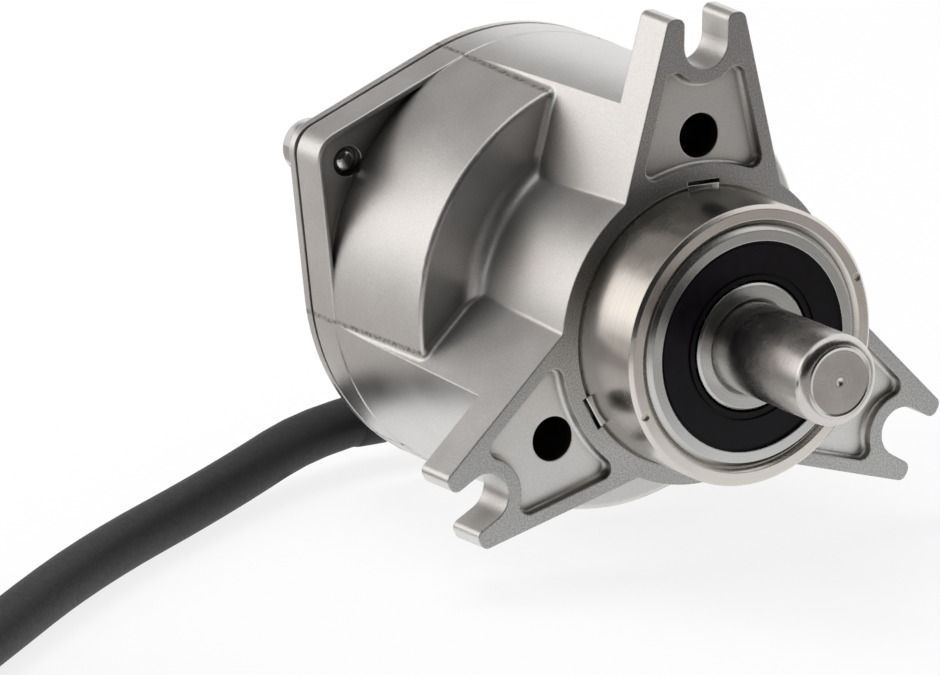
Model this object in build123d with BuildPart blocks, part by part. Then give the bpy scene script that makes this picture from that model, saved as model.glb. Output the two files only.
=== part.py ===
"""Incremental rotary encoder with a three-eared flange, steel bearing sleeve and cable.

Millimetres, +Z up along the top ear, +Y towards the rear cover, the shaft end towards -Y.
The origin lies on the shaft axis in the flange's front mounting face.
"""
from math import cos, hypot, pi, radians, tan
import os

from build123d import *

os.makedirs("parts", exist_ok=True)

# Flange and ears
ear_count = 3
ear_first_angle = 90.0
flange_thickness = 6.2
neck_radius = 21.35
ear_root_radius = 20.0
ear_root_half = 11.4
ear_end_radius = 40.0
ear_end_half = 6.2
ear_tip_radius = 41.3
ear_draft = 1.5
prong_rounding = 1.1
slot_half = 3.4
slot_centre_radius = 37.65

# Pockets and holes in the ears
pocket_depth = 1.4
pocket_wall = 1.9
pocket_inner_radius = 21.5
pocket_rounding = 1.5
pocket_floor_fillet = 0.6
ear_hole_radius = 3.0
ear_hole_circle = 25.2
ear_hole_end = 17.5

# Bowl behind the ears
shoulder_y = 21.1
bowl_end_y = 47.7
bowl_rear_radius = 31.0
bowl_draft = 0.9
leg_setback = 0.1
bowl_floor_y = 24.1
bowl_wall = 3.2
shoulder_rounding = 0.7
neck_fillet = 2.4
leg_fillet = 0.9

# Screw lobes of the bowl and the cover
lobe_angle = 150.0
lobe_count = 2
lobe_reach = 2.8
lobe_rounding = 4.0
lobe_front_y = 42.1
lobe_edge = 0.3
lobe_rim = 0.7
lobe_pocket_depth = 0.9
screw_from_lobe = 1.2
cover_screw_radius = 2.0
screw_mouth_play = 0.1
screw_mouth_depth = 1.2
lobe_step = 0.2

# Bearing sleeve
sleeve_front_y = -12.0
sleeve_rear_y = 16.0
sleeve_radius = 18.65
sleeve_seat_radius = 18.4
seat_lead = 0.35
sleeve_edge = 0.5
sleeve_mouth_radius = 16.8
sleeve_mouth_depth = 0.8
sleeve_rib_radius = 14.2
housing_lip_radius = 13.0
preload_play = 0.2
key_length = 4.9
key_height = 0.9
key_depth = 2.0
punch_radius = 0.55
punch_depth = 0.35
punch_count = 2
punch_angle = 24.0

# Ball bearings
bearing_outer_radius = 16.0
bearing_width = 10.0
bearing_front_y = -12.2
rear_bearing_y = 4.8
shaft_radius = 6.0
outer_land_radius = 13.4
inner_land_radius = 8.45
ball_circle_radius = 11.0
ball_radius = 2.9
ball_count = 7
ball_play = 0.1
ring_chamfer = 0.6
land_chamfer = 0.2
bore_chamfer = 0.5
shoulder_chamfer = 0.3
seal_outer_radius = 14.0
seal_inner_radius = 8.8
seal_recess = 0.35
seal_thickness = 0.9
seal_lip_width = 0.6
seal_groove_width = 0.45
seal_groove_depth = 0.3
seal_bead_width = 0.5
seal_bead_drop = 0.15
cage_front = -1.6
cage_back = 3.45
cage_half_height = 0.9

# Shaft
shaft_front_y = -32.0
shaft_end_y = 33.0
shaft_rounding = 1.35
shaft_pip_radius = 0.55
shaft_pip_depth = 0.25
shaft_end_inset = 0.5
snap_ring_thickness = 1.0
snap_groove_radius = 5.5
snap_ring_radius = 8.0
hub_seat_radius = 4.0
hub_seat_y = 18.0
spacer_radius = 8.0

# Code disc and its hub
hub_start_y = 20.0
hub_end_y = 28.0
hub_radius = 8.0
hub_flange_radius = 10.0
hub_edge = 0.5
disc_front_y = 29.5
disc_thickness = 1.2
disc_gap = 1.0
clamp_ring_radius = 7.5
clamp_ring_thickness = 1.2
clamp_ring_edge = 0.3
hub_screw_radius = 1.25
hub_screw_setback = 0.4
hub_screw_socket = 0.75
hub_screw_socket_depth = 1.4
slit_count = 48
slit_inset = 1.6
slit_length = 2.2
slit_width = 1.1

# Scanning unit
board_front_y = 35.0
board_thickness = 1.6
board_gap = 0.8
post_inset = 1.0
post_radius = 2.4
post_first_angle = 30.0
board_screw_radius = 1.0
board_screw_head_radius = 2.1
board_screw_head_height = 1.5
board_screw_depth = 6.0
header_height = 4.4
plug_height = 3.0
scan_inset = 3.0
scan_angle = 210.0
scan_gap = 0.9
lamp_depth = 7.0
lamp_width = 9.0
lamp_rounding = 0.8
head_depth = 8.0
head_width = 12.0
head_rounding = 0.6
board_notch_width = 6.0
board_notch_depth = 1.5
chip_size = 10.0
chip_height = 1.2
chip_edge = 0.2
chip_rounding = 0.4
chip_place = (-6.0, 6.0)
header_size = (8.0, 5.0)
plug_size = (7.0, 4.0)
plug_rounding = 0.5

# Rear cover
gasket_thickness = 0.8
gasket_inset = 1.0
cover_thickness = 1.5
cover_head_radius = 4.0
cover_head_height = 3.1
cover_head_rounding = 1.6
cross_length = 3.6
cross_width = 0.9
cross_depth = 1.6
screw_tip_chamfer = 0.4
screw_tip_setback = 0.3
outlet_left_x = 3.0
outlet_screw_gap = 2.2
outlet_height = 17.0
outlet_depth = 19.0
outlet_wall = 1.8
outlet_rounding = 1.8
outlet_setback = 0.6
cover_edge = 0.4
lead_hole_radius = 3.5
lead_x = 11.0
lead_height = 10.5

# Cable, gland and connector
cable_radius = 3.5
gland_back = 10.0
gland_height = 6.6
gland_flats = 11.0
gland_hex_thickness = 5.0
gland_nut_radius = 6.1
gland_nut_length = 8.0
gland_thread_radius = 4.9
coil_x = -154.0
coil_y = 9.5
coil_radius = 38.5
coil_columns = 2
coil_layers = 3
tail_run = 25.0
tail_rise = 40.0
plug_axis_z = -23.0
plug_start_y = 62.0
plug_boot_length = 9.0
plug_body_radius = 7.5
plug_body_length = 22.0
plug_ring_radius = 8.0
plug_ring_length = 13.0
plug_nose_radius = 6.0
plug_nose_setback = 2.0
plug_ring_play = 0.3
pin_count = 8
pin_circle_radius = 2.9
pin_radius = 0.4
pin_length = 5.5
pin_field_radius = 5.0
insert_depth = 3.0
grip_count = 12
gland_grip_radius = 0.35
gland_grip_end = 0.8
plug_grip_radius = 0.6
plug_grip_margin = 3.0
ring_grip_radius = 0.35
ring_grip_margin = 2.0
plug_edge = 0.5
plug_boot_play = 0.6
plug_shoulder = 1.0
coil_corner = 3.3
gland_nut_rounding = 1.4
cable_inner_end = 0.4
gland_seal_radius = 4.5
lead_radius = 1.6
lead_bends = [2.2, 2.2]
lead_drop = 6.0

# Worked out from the values above
cover_front_y = bowl_end_y + gasket_thickness
cover_back_y = cover_front_y + cover_thickness
disc_back_y = disc_front_y + disc_thickness
hub_screw_y = (hub_start_y + hub_end_y) / 2
board_back_y = board_front_y + board_thickness
bowl_front_radius = bowl_rear_radius - bowl_draft
leg_outer_radius = bowl_rear_radius - leg_setback
cavity_radius = bowl_rear_radius - bowl_wall
lobe_centre_radius = bowl_rear_radius + lobe_reach
cover_screw_circle = lobe_centre_radius - screw_from_lobe
screw_mouth_radius = cover_screw_radius + screw_mouth_play
lobe_floor_y = lobe_front_y + lobe_pocket_depth
screw_end_y = lobe_floor_y + screw_tip_setback
board_radius = cavity_radius - board_gap
post_circle = cavity_radius - post_radius - post_inset
disc_radius = post_circle - post_radius - disc_gap
slit_outer_radius = disc_radius - slit_inset
slit_inner_radius = slit_outer_radius - slit_length
scan_radius = disc_radius - scan_inset
outlet_right_x = -cover_screw_circle * cos(radians(lobe_angle)) - cover_head_radius - outlet_screw_gap
table_z = -bowl_rear_radius
outlet_top_z = table_z + outlet_height
gland_y = cover_back_y + gland_back
gland_z = table_z + gland_height
lead_z = table_z + lead_height
rib_front_y = bearing_front_y + bearing_width
rear_bearing_end_y = rear_bearing_y + bearing_width
table_cable_z = table_z + cable_radius


def facing(y):
    """Sketch plane at depth y, seen from the shaft end: its x is X and its y is Z."""
    return Plane(origin=(0, y, 0), x_dir=(1, 0, 0), z_dir=(0, -1, 0))


def axis_distance(point):
    """Distance of a point from the shaft axis."""
    return hypot(point.X, point.Z)


def ends_on(edge, radius, least_run):
    """Whether an edge of the shoulder, or one running forward from it, ends at this radius.

    A radius of None asks for the shoulder edges that join two different radii.
    """
    first, last = edge @ 0, edge @ 1
    radii = (axis_distance(first), axis_distance(last))
    if least_run:
        on_depth = abs(first.Y - last.Y) > least_run and max(first.Y, last.Y) < shoulder_y + 0.01
    else:
        on_depth = max(abs(first.Y - shoulder_y), abs(last.Y - shoulder_y)) < 0.01
    if radius is None:
        return on_depth and abs(radii[0] - radii[1]) > 1
    return on_depth and max(abs(radii[0] - radius), abs(radii[1] - radius)) < 0.05


def ear_half(radius):
    """Half the width of an ear at this distance from the shaft axis."""
    slope = (ear_end_half - ear_root_half) / (ear_end_radius - ear_root_radius)
    return ear_root_half + slope * (radius - ear_root_radius)


def ear_wedge(inner, outer, inset=0.0):
    """Tapered blank of one ear, lying along the sketch's x axis."""
    low = ear_half(inner) - inset
    high = ear_half(outer) - inset
    return Polygon((inner, -low), (outer, -high), (outer, high), (inner, low), align=None)


def turned(points):
    """Solid turned about the shaft axis from (radius, y) points."""
    with BuildPart() as body:
        with BuildSketch(Plane.XY):
            with BuildLine():
                Polyline(*points, close=True)
            make_face()
        revolve(axis=Axis.Y)
    return body.part


def save(piece, name):
    """Labels a piece and writes its file."""
    piece.label = name
    export_step(piece, f"parts/{name}.step")


# Outline shared by the bowl's rear, the gasket and the cover
with BuildSketch() as lobed_outline:
    Circle(bowl_rear_radius)
    with PolarLocations(lobe_centre_radius, lobe_count, lobe_angle):
        Circle(lobe_rounding)
    make_hull()

# Pocket in the ear's face, concave around the slot and the sleeve
with BuildSketch() as ear_pocket:
    ear_wedge(ear_root_radius / 2, slot_centre_radius, pocket_wall)
    Circle(pocket_inner_radius, mode=Mode.SUBTRACT)
    with Locations((slot_centre_radius, 0)):
        Circle(slot_half + pocket_wall, mode=Mode.SUBTRACT)
    offset(amount=-pocket_rounding)
    offset(amount=pocket_rounding)

# Ears and the legs behind them, one tapered wedge for each
with BuildPart() as legs:
    with BuildSketch(facing(0)):
        with PolarLocations(0, ear_count, ear_first_angle):
            ear_wedge(ear_root_radius / 2, ear_tip_radius)
    extrude(amount=-bowl_end_y, taper=-ear_draft)
    add(turned([
        (0, 0),
        (2 * ear_tip_radius, 0),
        (2 * ear_tip_radius, flange_thickness),
        (leg_outer_radius, flange_thickness),
        (leg_outer_radius, bowl_end_y),
        (0, bowl_end_y),
    ]), mode=Mode.INTERSECT)
    with BuildSketch(facing(0)):
        with PolarLocations(slot_centre_radius, ear_count, ear_first_angle):
            Circle(slot_half)
        with PolarLocations(slot_centre_radius + ear_tip_radius / 2, ear_count, ear_first_angle):
            Rectangle(ear_tip_radius, 2 * slot_half)
    extrude(amount=-flange_thickness, mode=Mode.SUBTRACT)
    prong_corners = legs.edges().filter_by(lambda e: 40 < axis_distance(e.center()) < 42.5
                                           and e.length > 0.9 * flange_thickness)
    fillet(prong_corners, prong_rounding)

# Flat collar around the bowl's rear with the screw lobes, its front edge rounded
with BuildPart() as lobes:
    with BuildSketch(facing(bowl_end_y)):
        add(lobed_outline.sketch)
    extrude(amount=bowl_end_y - lobe_front_y)
    fillet(lobes.edges().group_by(Axis.Y)[0], lobe_edge)

# Housing: eared flange, neck, legs and bowl in one casting
with BuildPart() as housing:
    add(turned([
        (0, 0),
        (neck_radius, 0),
        (neck_radius, shoulder_y),
        (bowl_front_radius, shoulder_y),
        (bowl_rear_radius, bowl_end_y),
        (0, bowl_end_y),
    ]))
    add(legs.part)

    # Rounding where the shoulder meets its rim, the neck and the legs
    fillet(housing.edges().filter_by(lambda e: ends_on(e, bowl_front_radius, 0)), shoulder_rounding)
    fillet(housing.edges().filter_by(lambda e: ends_on(e, neck_radius, 0)), neck_fillet)
    leg_roots = housing.edges().filter_by(lambda e: ends_on(e, None, 0))
    leg_corners = housing.edges().filter_by(lambda e: ends_on(e, neck_radius, shoulder_y / 2))
    fillet(leg_roots + leg_corners, leg_fillet)

    # Pockets and deep holes of the ears
    with BuildSketch(facing(0)):
        with PolarLocations(0, ear_count, ear_first_angle):
            add(ear_pocket.sketch)
    extrude(amount=-pocket_depth, mode=Mode.SUBTRACT)
    pocket_floor = housing.edges().filter_by(lambda e: abs(e.center().Y - pocket_depth) < 0.001
                                             and abs((e @ 0).Y - pocket_depth) < 0.001)
    fillet(pocket_floor, pocket_floor_fillet)
    with BuildSketch(facing(0)):
        with PolarLocations(ear_hole_circle, ear_count, ear_first_angle):
            Circle(ear_hole_radius)
    extrude(amount=-ear_hole_end, mode=Mode.SUBTRACT)

    # Lobes for the cover screws, each with a shallow pocket and a tapped hole
    add(lobes.part)
    with BuildSketch(facing(lobe_front_y)):
        add(lobed_outline.sketch)
        offset(amount=-lobe_rim)
        Circle(bowl_rear_radius - lobe_step, mode=Mode.SUBTRACT)
    extrude(amount=-lobe_pocket_depth, mode=Mode.SUBTRACT)
    with BuildSketch(facing(bowl_end_y)):
        with PolarLocations(cover_screw_circle, lobe_count, lobe_angle):
            Circle(cover_screw_radius)
    extrude(amount=bowl_end_y - lobe_front_y, mode=Mode.SUBTRACT)
    with BuildSketch(facing(lobe_floor_y)):
        with PolarLocations(cover_screw_circle, lobe_count, lobe_angle):
            Circle(screw_mouth_radius)
    extrude(amount=-screw_mouth_depth, mode=Mode.SUBTRACT)

    # Seat of the bearing sleeve, passage for the shaft and the cavity of the bowl
    add(turned([
        (0, 0),
        (sleeve_radius + seat_lead, 0),
        (sleeve_seat_radius, sleeve_radius + seat_lead - sleeve_seat_radius),
        (sleeve_seat_radius, sleeve_rear_y),
        (housing_lip_radius, sleeve_rear_y),
        (housing_lip_radius, bowl_floor_y),
        (cavity_radius, bowl_floor_y),
        (cavity_radius, bowl_end_y),
        (0, bowl_end_y),
    ]), mode=Mode.SUBTRACT)
    with BuildSketch(facing(0)):
        with PolarLocations(sleeve_radius, ear_count, ear_first_angle):
            Rectangle(2 * key_height, key_length)
    extrude(amount=-key_depth, mode=Mode.SUBTRACT)

    # Posts for the scanner board
    with BuildSketch(facing(bowl_floor_y)):
        with PolarLocations(post_circle, ear_count, post_first_angle):
            Circle(post_radius)
    extrude(amount=bowl_floor_y - board_front_y)
    with BuildSketch(facing(board_front_y)):
        with PolarLocations(post_circle, ear_count, post_first_angle):
            Circle(board_screw_radius)
    extrude(amount=board_screw_depth, mode=Mode.SUBTRACT)
save(housing.part, "housing")

# Steel sleeve that stands out of the flange and carries both bearings
with BuildPart() as bearing_sleeve:
    add(turned([
        (sleeve_mouth_radius, sleeve_front_y),
        (sleeve_radius - sleeve_edge, sleeve_front_y),
        (sleeve_radius, sleeve_front_y + sleeve_edge),
        (sleeve_radius, 0),
        (sleeve_seat_radius, 0),
        (sleeve_seat_radius, sleeve_rear_y - sleeve_edge),
        (sleeve_seat_radius - sleeve_edge, sleeve_rear_y),
        (bearing_outer_radius, sleeve_rear_y),
        (bearing_outer_radius, rear_bearing_y),
        (sleeve_rib_radius, rear_bearing_y),
        (sleeve_rib_radius, rib_front_y),
        (bearing_outer_radius, rib_front_y),
        (bearing_outer_radius, sleeve_front_y + sleeve_mouth_depth),
    ]))
    with BuildSketch(facing(sleeve_front_y)):
        with PolarLocations((sleeve_mouth_radius + sleeve_radius) / 2, punch_count, punch_angle):
            Circle(punch_radius)
    extrude(amount=-punch_depth, mode=Mode.SUBTRACT)
save(bearing_sleeve.part, "bearing_sleeve")

# Keys pressed in beside the sleeve, flush with the flange
with BuildPart() as sleeve_keys:
    with BuildSketch(facing(0)):
        with PolarLocations(sleeve_radius, ear_count, ear_first_angle):
            Rectangle(2 * key_height, key_length)
        Circle(sleeve_seat_radius, mode=Mode.SUBTRACT)
    extrude(amount=-key_depth)
save(sleeve_keys.part, "sleeve_keys")


def ring_profile(inner, outer, front, chamfer_inner, chamfer_outer):
    """Section of a bearing ring with its four edges broken."""
    back = front + bearing_width
    return [
        (inner + chamfer_inner, front),
        (outer - chamfer_outer, front),
        (outer, front + chamfer_outer),
        (outer, back - chamfer_outer),
        (outer - chamfer_outer, back),
        (inner + chamfer_inner, back),
        (inner, back - chamfer_inner),
        (inner, front + chamfer_inner),
    ]


def raceway(front, play):
    """Ring of round section cut into both rings for the balls to run in."""
    middle = front + bearing_width / 2
    with BuildPart() as groove:
        with BuildSketch(Plane.XY):
            with Locations((ball_circle_radius, middle)):
                Circle(ball_radius + play)
        revolve(axis=Axis.Y)
    return groove.part


def seal_ring(face, inward):
    """Annular seal with a lip at its bore, a groove beside it and a lower bead at its rim.

    The outer face lies at depth face, and inward is +1 or -1, towards the balls.
    """
    lip_end = seal_inner_radius + seal_lip_width
    groove_end = lip_end + seal_groove_width
    bead_start = seal_outer_radius - seal_bead_width
    return turned([
        (seal_inner_radius, face),
        (lip_end, face),
        (lip_end, face + inward * seal_groove_depth),
        (groove_end, face + inward * seal_groove_depth),
        (groove_end, face),
        (bead_start, face),
        (bead_start, face + inward * seal_bead_drop),
        (seal_outer_radius, face + inward * seal_bead_drop),
        (seal_outer_radius, face + inward * seal_thickness),
        (seal_inner_radius, face + inward * seal_thickness),
    ])


# Sealed ball bearings: rings, seals, balls and cage at both ends of the sleeve
for place, front in (("front", bearing_front_y), ("rear", rear_bearing_y)):
    middle = front + bearing_width / 2
    far_face = front + bearing_width - seal_recess
    seat_depth = seal_thickness + seal_recess

    with BuildPart() as outer_ring:
        add(turned(ring_profile(outer_land_radius, bearing_outer_radius, front,
                                land_chamfer, ring_chamfer)))
        add(raceway(front, ball_play), mode=Mode.SUBTRACT)
        for seat_front in (front, front + bearing_width - seat_depth):
            add(turned([
                (outer_land_radius - seal_bead_width, seat_front),
                (seal_outer_radius, seat_front),
                (seal_outer_radius, seat_front + seat_depth),
                (outer_land_radius - seal_bead_width, seat_front + seat_depth),
            ]), mode=Mode.SUBTRACT)
    save(outer_ring.part, f"{place}_bearing_outer_ring")

    with BuildPart() as inner_ring:
        add(turned(ring_profile(shaft_radius, inner_land_radius, front, bore_chamfer, shoulder_chamfer)))
        add(raceway(front, ball_play), mode=Mode.SUBTRACT)
    save(inner_ring.part, f"{place}_bearing_inner_ring")

    with BuildPart() as seals:
        add(seal_ring(front + seal_recess, 1))
        add(seal_ring(far_face, -1))
    save(seals.part, f"{place}_bearing_seals")

    with BuildPart() as balls:
        with Locations(facing(middle)):
            with PolarLocations(ball_circle_radius, ball_count, ear_first_angle):
                Sphere(ball_radius)
    save(balls.part, f"{place}_bearing_balls")

    with BuildPart() as cage:
        add(turned([
            (ball_circle_radius - cage_half_height, middle + cage_front),
            (ball_circle_radius + cage_half_height, middle + cage_front),
            (ball_circle_radius + cage_half_height, middle + cage_back),
            (ball_circle_radius - cage_half_height, middle + cage_back),
        ]))
        with Locations(facing(middle)):
            with PolarLocations(ball_circle_radius, ball_count, ear_first_angle):
                Sphere(ball_radius, mode=Mode.SUBTRACT)
    save(cage.part, f"{place}_bearing_cage")

# Ring that presses the rear bearing against the sleeve's rib
with BuildPart() as preload_ring:
    add(turned([
        (sleeve_rib_radius, rear_bearing_end_y),
        (bearing_outer_radius - preload_play, rear_bearing_end_y),
        (bearing_outer_radius - preload_play, sleeve_rear_y),
        (sleeve_rib_radius, sleeve_rear_y),
    ]))
save(preload_ring.part, "preload_ring")

# Shaft: journal, groove for the snap ring and thin seat for the disc hub
with BuildPart() as shaft:
    add(turned([
        (0, shaft_front_y + shaft_pip_depth),
        (shaft_pip_radius, shaft_front_y),
        (shaft_radius, shaft_front_y),
        (shaft_radius, rear_bearing_end_y),
        (snap_groove_radius, rear_bearing_end_y),
        (snap_groove_radius, rear_bearing_end_y + snap_ring_thickness),
        (shaft_radius, rear_bearing_end_y + snap_ring_thickness),
        (shaft_radius, hub_seat_y),
        (hub_seat_radius, hub_seat_y),
        (hub_seat_radius, shaft_end_y - shaft_end_inset),
        (hub_seat_radius - shaft_end_inset, shaft_end_y),
        (0, shaft_end_y),
    ]))
    front_edges = shaft.edges().filter_by(GeomType.CIRCLE).group_by(Axis.Y)[0]
    fillet(front_edges.sort_by(SortBy.RADIUS)[-1], shaft_rounding)
save(shaft.part, "shaft")

# Spacer between the inner rings
with BuildPart() as inner_spacer:
    add(turned([
        (shaft_radius, rib_front_y),
        (spacer_radius, rib_front_y),
        (spacer_radius, rear_bearing_y),
        (shaft_radius, rear_bearing_y),
    ]))
save(inner_spacer.part, "inner_spacer")

# Open snap ring behind the rear bearing
with BuildPart() as snap_ring:
    with BuildSketch(facing(rear_bearing_end_y)):
        Circle(snap_ring_radius)
        Circle(snap_groove_radius, mode=Mode.SUBTRACT)
        with Locations((0, -snap_ring_radius)):
            Rectangle(snap_groove_radius, snap_ring_radius, mode=Mode.SUBTRACT)
    extrude(amount=-snap_ring_thickness)
save(snap_ring.part, "snap_ring")

# Hub of the code disc, held on the shaft by a grub screw
with BuildPart() as disc_hub:
    add(turned([
        (hub_seat_radius, hub_start_y),
        (hub_radius - hub_edge, hub_start_y),
        (hub_radius, hub_start_y + hub_edge),
        (hub_radius, hub_end_y),
        (hub_flange_radius, hub_end_y),
        (hub_flange_radius, disc_front_y),
        (hub_seat_radius, disc_front_y),
    ]))
    with BuildSketch(Plane.XY):
        with Locations((0, hub_screw_y)):
            Circle(hub_screw_radius)
    extrude(amount=hub_radius, mode=Mode.SUBTRACT)
save(disc_hub.part, "disc_hub")

with BuildPart() as hub_screw:
    with BuildSketch(Plane.XY.offset(hub_seat_radius)):
        with Locations((0, hub_screw_y)):
            Circle(hub_screw_radius)
    extrude(amount=hub_radius - hub_seat_radius - hub_screw_setback)
    with BuildSketch(Plane.XY.offset(hub_radius - hub_screw_setback)):
        with Locations((0, hub_screw_y)):
            RegularPolygon(hub_screw_socket, 6)
    extrude(amount=-hub_screw_socket_depth, mode=Mode.SUBTRACT)
save(hub_screw.part, "hub_screw")

# Code disc with its ring of slits
with BuildPart() as code_disc:
    with BuildSketch(facing(disc_front_y)):
        Circle(disc_radius)
        Circle(hub_seat_radius, mode=Mode.SUBTRACT)
        with PolarLocations((slit_inner_radius + slit_outer_radius) / 2, slit_count):
            Rectangle(slit_outer_radius - slit_inner_radius, slit_width, mode=Mode.SUBTRACT)
    extrude(amount=-disc_thickness)
save(code_disc.part, "code_disc")

with BuildPart() as disc_clamp_ring:
    add(turned([
        (hub_seat_radius, disc_back_y),
        (clamp_ring_radius, disc_back_y),
        (clamp_ring_radius, disc_back_y + clamp_ring_thickness - clamp_ring_edge),
        (clamp_ring_radius - clamp_ring_edge, disc_back_y + clamp_ring_thickness),
        (hub_seat_radius, disc_back_y + clamp_ring_thickness),
    ]))
save(disc_clamp_ring.part, "disc_clamp_ring")

# Light source in front of the disc and reading head behind it
with BuildPart() as light_source:
    with BuildSketch(facing(bowl_floor_y)):
        with PolarLocations(scan_radius, 1, scan_angle):
            Rectangle(lamp_depth, lamp_width)
    extrude(amount=-(disc_front_y - scan_gap - bowl_floor_y))
    fillet(light_source.edges().filter_by(Axis.Y), lamp_rounding)
save(light_source.part, "light_source")

with BuildPart() as reading_head:
    with BuildSketch(facing(disc_back_y + scan_gap)):
        with PolarLocations(scan_radius, 1, scan_angle):
            Rectangle(head_depth, head_width)
    extrude(amount=-(board_front_y - disc_back_y - scan_gap))
    fillet(reading_head.edges().filter_by(Axis.Y), head_rounding)
save(reading_head.part, "reading_head")

# Scanner board with its chip, header and three screws
with BuildPart() as scanner_board:
    with BuildSketch(facing(board_front_y)):
        Circle(board_radius)
        with PolarLocations(post_circle, ear_count, post_first_angle):
            Circle(board_screw_radius, mode=Mode.SUBTRACT)
        with PolarLocations(board_radius, 2, 90):
            Rectangle(2 * board_notch_depth, board_notch_width, mode=Mode.SUBTRACT)
    extrude(amount=-board_thickness)
save(scanner_board.part, "scanner_board")

with BuildPart() as board_chip:
    with BuildSketch(facing(board_back_y)):
        with Locations(chip_place):
            RectangleRounded(chip_size, chip_size, chip_rounding)
    extrude(amount=-chip_height)
    chamfer(board_chip.faces().sort_by(Axis.Y)[-1].edges(), chip_edge)
save(board_chip.part, "board_chip")

with BuildPart() as board_screws:
    with BuildSketch(facing(board_front_y)):
        with PolarLocations(post_circle, ear_count, post_first_angle):
            Circle(board_screw_radius)
    extrude(amount=board_screw_depth)
    with BuildSketch(facing(board_front_y)):
        with PolarLocations(post_circle, ear_count, post_first_angle):
            Circle(board_screw_radius)
    extrude(amount=-board_thickness)
    with BuildSketch(facing(board_back_y)):
        with PolarLocations(post_circle, ear_count, post_first_angle):
            Circle(board_screw_head_radius)
    extrude(amount=-board_screw_head_height)
save(board_screws.part, "board_screws")

with BuildPart() as board_header:
    with BuildSketch(facing(board_back_y)):
        with Locations((lead_x, lead_z)):
            Rectangle(*header_size)
    extrude(amount=-header_height)
save(board_header.part, "board_header")

with BuildPart() as lead_plug:
    with BuildSketch(facing(board_back_y + header_height)):
        with Locations((lead_x, lead_z)):
            RectangleRounded(*plug_size, plug_rounding)
    extrude(amount=-plug_height)
save(lead_plug.part, "lead_plug")

# Gasket and rear cover
with BuildPart() as cover_gasket:
    with BuildSketch(facing(bowl_end_y)):
        add(lobed_outline.sketch)
        offset(amount=-gasket_inset)
        Circle(cavity_radius, mode=Mode.SUBTRACT)
        with PolarLocations(cover_screw_circle, lobe_count, lobe_angle):
            Circle(cover_screw_radius, mode=Mode.SUBTRACT)
    extrude(amount=-gasket_thickness)
save(cover_gasket.part, "cover_gasket")

outlet_middle_x = (outlet_left_x + outlet_right_x) / 2
with BuildPart() as rear_cover:
    with BuildSketch(facing(cover_front_y)):
        add(lobed_outline.sketch)
    extrude(amount=-cover_thickness)
    fillet(rear_cover.faces().sort_by(Axis.Y)[-1].edges(), cover_edge)
    with BuildSketch(facing(cover_back_y)):
        with Locations((outlet_middle_x, outlet_top_z - outlet_height / 2)):
            Rectangle(outlet_right_x - outlet_left_x, outlet_height)
        Circle(bowl_rear_radius - outlet_setback, mode=Mode.INTERSECT)
    extrude(amount=-outlet_depth)
    outlet_edges = rear_cover.edges().filter_by(lambda e: e.center().Y > cover_back_y + outlet_rounding)
    fillet(outlet_edges, outlet_rounding)
    with BuildSketch(facing(cover_back_y)):
        with Locations((outlet_middle_x, outlet_top_z - outlet_height / 2)):
            Rectangle(outlet_right_x - outlet_left_x - 2 * outlet_wall, outlet_height - 2 * outlet_wall)
        Circle(bowl_rear_radius - outlet_setback - outlet_wall, mode=Mode.INTERSECT)
    extrude(amount=-(outlet_depth - outlet_wall), mode=Mode.SUBTRACT)
    with BuildSketch(facing(cover_front_y)):
        with Locations((lead_x, lead_z)):
            Circle(lead_hole_radius)
        with PolarLocations(cover_screw_circle, lobe_count, lobe_angle):
            Circle(cover_screw_radius)
    extrude(amount=-cover_thickness, mode=Mode.SUBTRACT)
    with BuildSketch(Plane.YZ.offset(outlet_left_x)):
        with Locations((gland_y, gland_z)):
            Circle(gland_thread_radius)
    extrude(amount=outlet_wall, mode=Mode.SUBTRACT)
save(rear_cover.part, "rear_cover")

# Pan head cover screws with a cross recess, threaded through the lobes
with BuildPart() as cover_screws:
    with BuildSketch(facing(screw_end_y)):
        with PolarLocations(cover_screw_circle, lobe_count, lobe_angle):
            Circle(cover_screw_radius)
    extrude(amount=-(cover_back_y - screw_end_y))
    chamfer(cover_screws.edges().group_by(Axis.Y)[0], screw_tip_chamfer)
    with BuildSketch(facing(cover_back_y)):
        with PolarLocations(cover_screw_circle, lobe_count, lobe_angle):
            Circle(cover_head_radius)
    extrude(amount=-cover_head_height)
    fillet(cover_screws.edges().filter_by(GeomType.CIRCLE).group_by(Axis.Y)[-1], cover_head_rounding)
    with BuildSketch(facing(cover_back_y + cover_head_height)):
        with PolarLocations(cover_screw_circle, lobe_count, lobe_angle):
            Rectangle(cross_length, cross_width)
            Rectangle(cross_width, cross_length)
    extrude(amount=cross_depth, mode=Mode.SUBTRACT)
save(cover_screws.part, "cover_screws")

# Cable gland in the side of the cover's outlet
hex_end_x = outlet_left_x - gland_hex_thickness
with BuildPart() as gland_body:
    with BuildSketch(Plane.YZ.offset(hex_end_x)):
        with Locations((gland_y, gland_z)):
            RegularPolygon(gland_flats / 2, 6, major_radius=False)
            Circle(cable_radius, mode=Mode.SUBTRACT)
    extrude(amount=gland_hex_thickness)
    with BuildSketch(Plane.YZ.offset(outlet_left_x)):
        with Locations((gland_y, gland_z)):
            Circle(gland_thread_radius)
            Circle(cable_radius, mode=Mode.SUBTRACT)
    extrude(amount=outlet_wall)
save(gland_body.part, "gland_body")

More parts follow.
